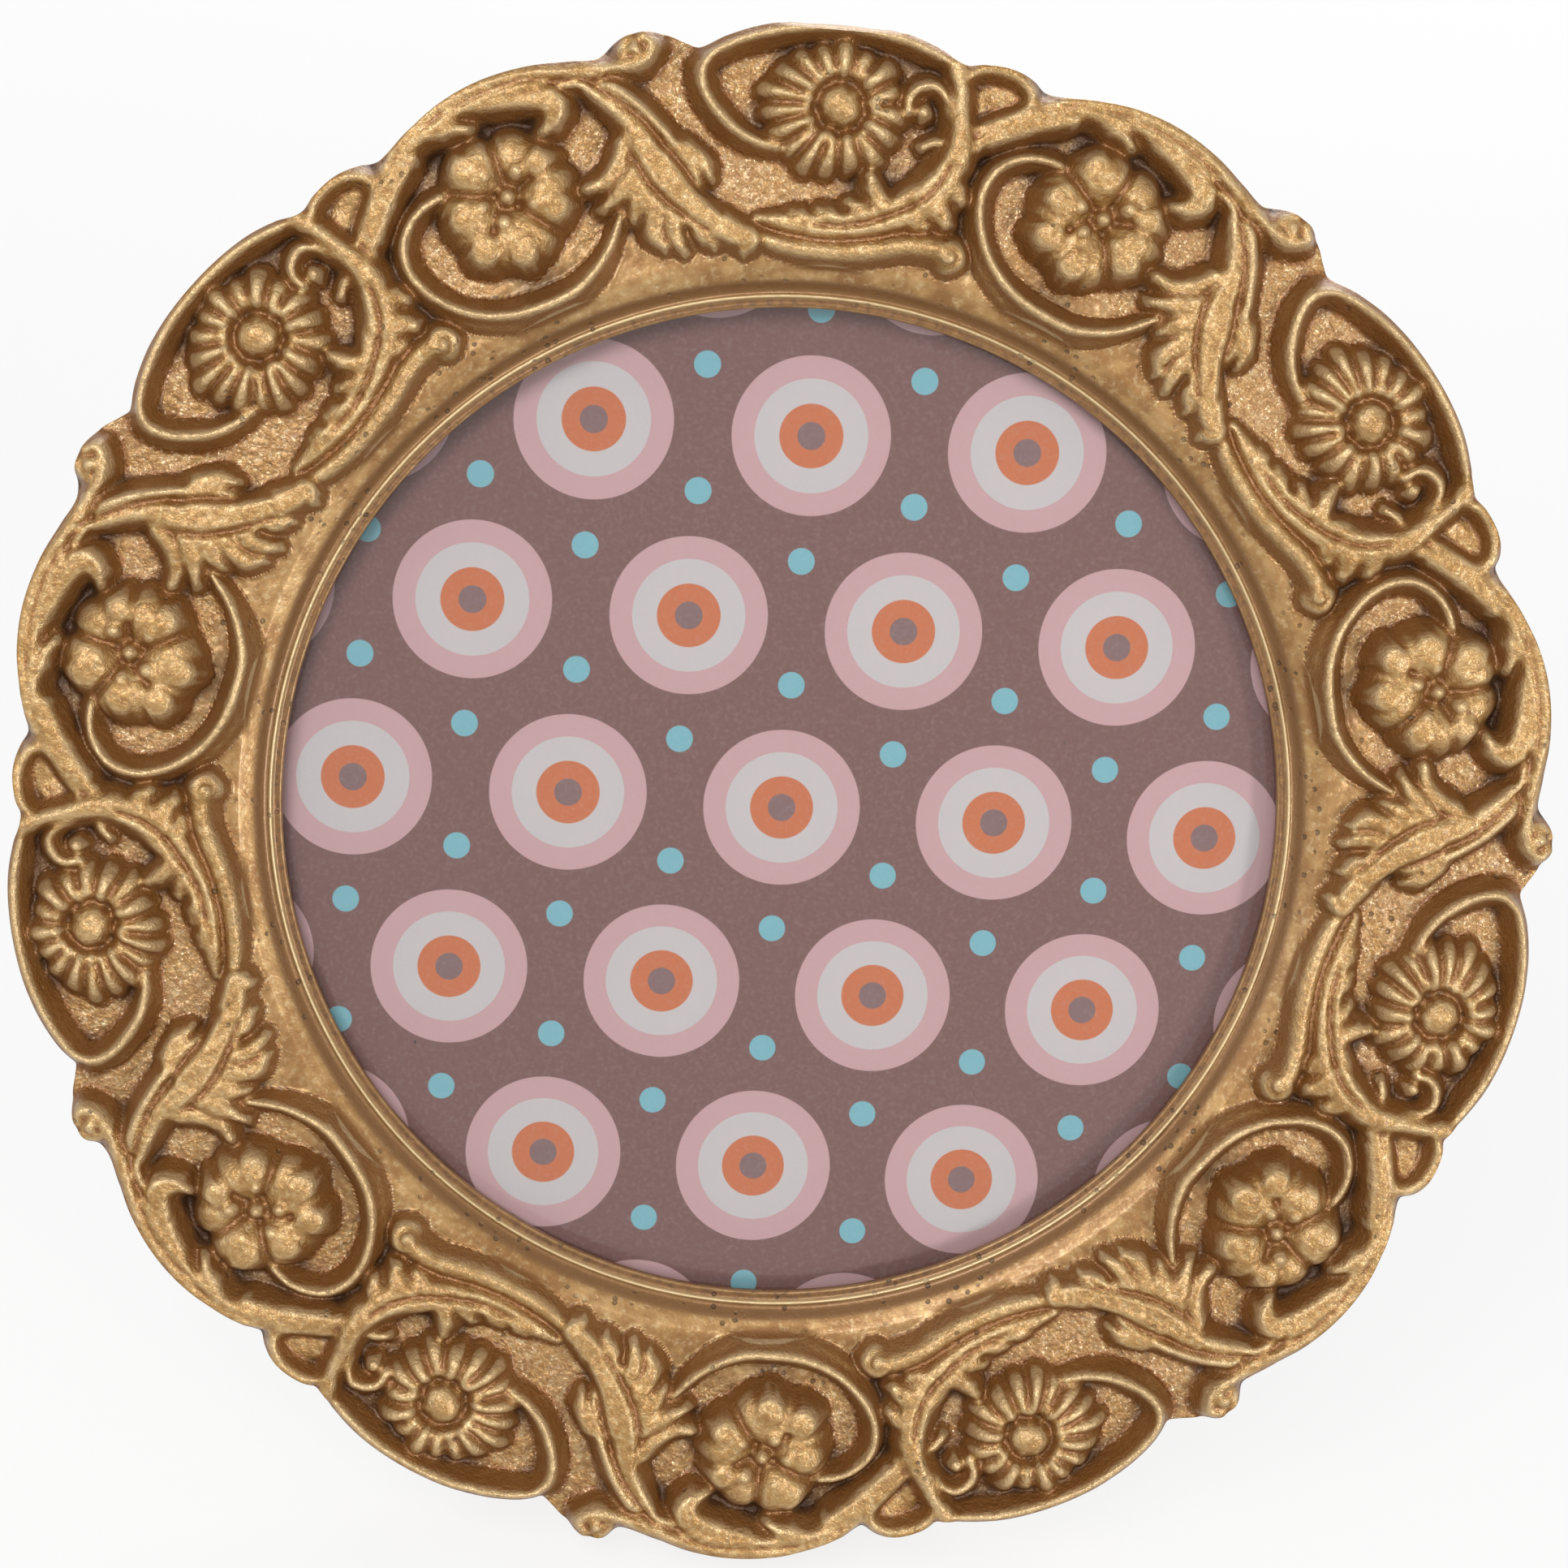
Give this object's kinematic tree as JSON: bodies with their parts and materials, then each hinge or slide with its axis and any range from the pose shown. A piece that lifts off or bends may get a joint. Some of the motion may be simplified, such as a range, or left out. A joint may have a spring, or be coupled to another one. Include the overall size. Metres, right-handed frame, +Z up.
{
  "type": "round photo frame",
  "caption": "Round gilt photo frame with a ring of flowers and scrolls, glass, paper insert, back board, turn buttons, hinged easel leg and hanging ring.",
  "frame": {"origin": "centre of the standing frame's box, on the table", "axes": "+Z up, -Y towards the viewer of the picture, +X to the viewer's right"},
  "size_m": [0.1484, 0.0608, 0.1448],
  "materials": {
    "gilt_resin": "antique gold paint with brown patina on cast resin",
    "clear_glass": "clear float glass",
    "printed_paper": "matt printed paper",
    "grey_card": "grey board",
    "dark_board": "fibreboard with a flocked dark face",
    "plated_steel": "zinc-plated sheet steel and wire"
  },
  "bodies": {
    "frame": {"frame_ring": "gilt_resin", "glass_pane": "clear_glass", "insert_print": "printed_paper", "filler_card": "grey_card", "back_board": "dark_board", "hinge_leaf_fixed": "plated_steel", "hinge_pin": "plated_steel", "hinge_rivets": "plated_steel", "turn_button_screws": "plated_steel", "hanger_plate": "plated_steel", "hanger_rivet": "plated_steel"},
    "easel_leg": {"strut_leg": "dark_board", "hinge_leaf_strut": "plated_steel", "strut_rivets": "plated_steel"},
    "turn_button_1": {"turn_button_1": "plated_steel"},
    "turn_button_2": {"turn_button_2": "plated_steel"},
    "turn_button_3": {"turn_button_3": "plated_steel"},
    "turn_button_4": {"turn_button_4": "plated_steel"},
    "hanger_ring": {"hanger_ring": "plated_steel"}
  },
  "joints": [
    {"name": "leg_hinge", "type": "hinge", "parent": "frame", "child": "easel_leg", "pos_m": [-0.00045, 0.01291, 0.089], "axis": [1, 0, 0], "range_deg": [-28, 0]},
    {"name": "hanger_swing", "type": "hinge", "parent": "frame", "child": "hanger_ring", "pos_m": [-0.00045, 0.02075, 0.11379], "axis": [1, 0, 0], "range_deg": [-14, 155]},
    {"name": "button_1_turn", "type": "hinge", "parent": "frame", "child": "turn_button_1", "pos_m": [0.04098, 0.01782, 0.10995], "axis": [0, -0.9511, 0.309], "range_deg": [-90, 90]},
    {"name": "button_2_turn", "type": "hinge", "parent": "frame", "child": "turn_button_2", "pos_m": [0.04098, -0.00779, 0.03113], "axis": [0, -0.9511, 0.309], "range_deg": [-90, 90]},
    {"name": "button_3_turn", "type": "hinge", "parent": "frame", "child": "turn_button_3", "pos_m": [-0.04189, -0.00779, 0.03113], "axis": [0, -0.9511, 0.309], "range_deg": [-90, 90]},
    {"name": "button_4_turn", "type": "hinge", "parent": "frame", "child": "turn_button_4", "pos_m": [-0.04189, 0.01782, 0.10995], "axis": [0, -0.9511, 0.309], "range_deg": [-90, 90]}
  ]
}
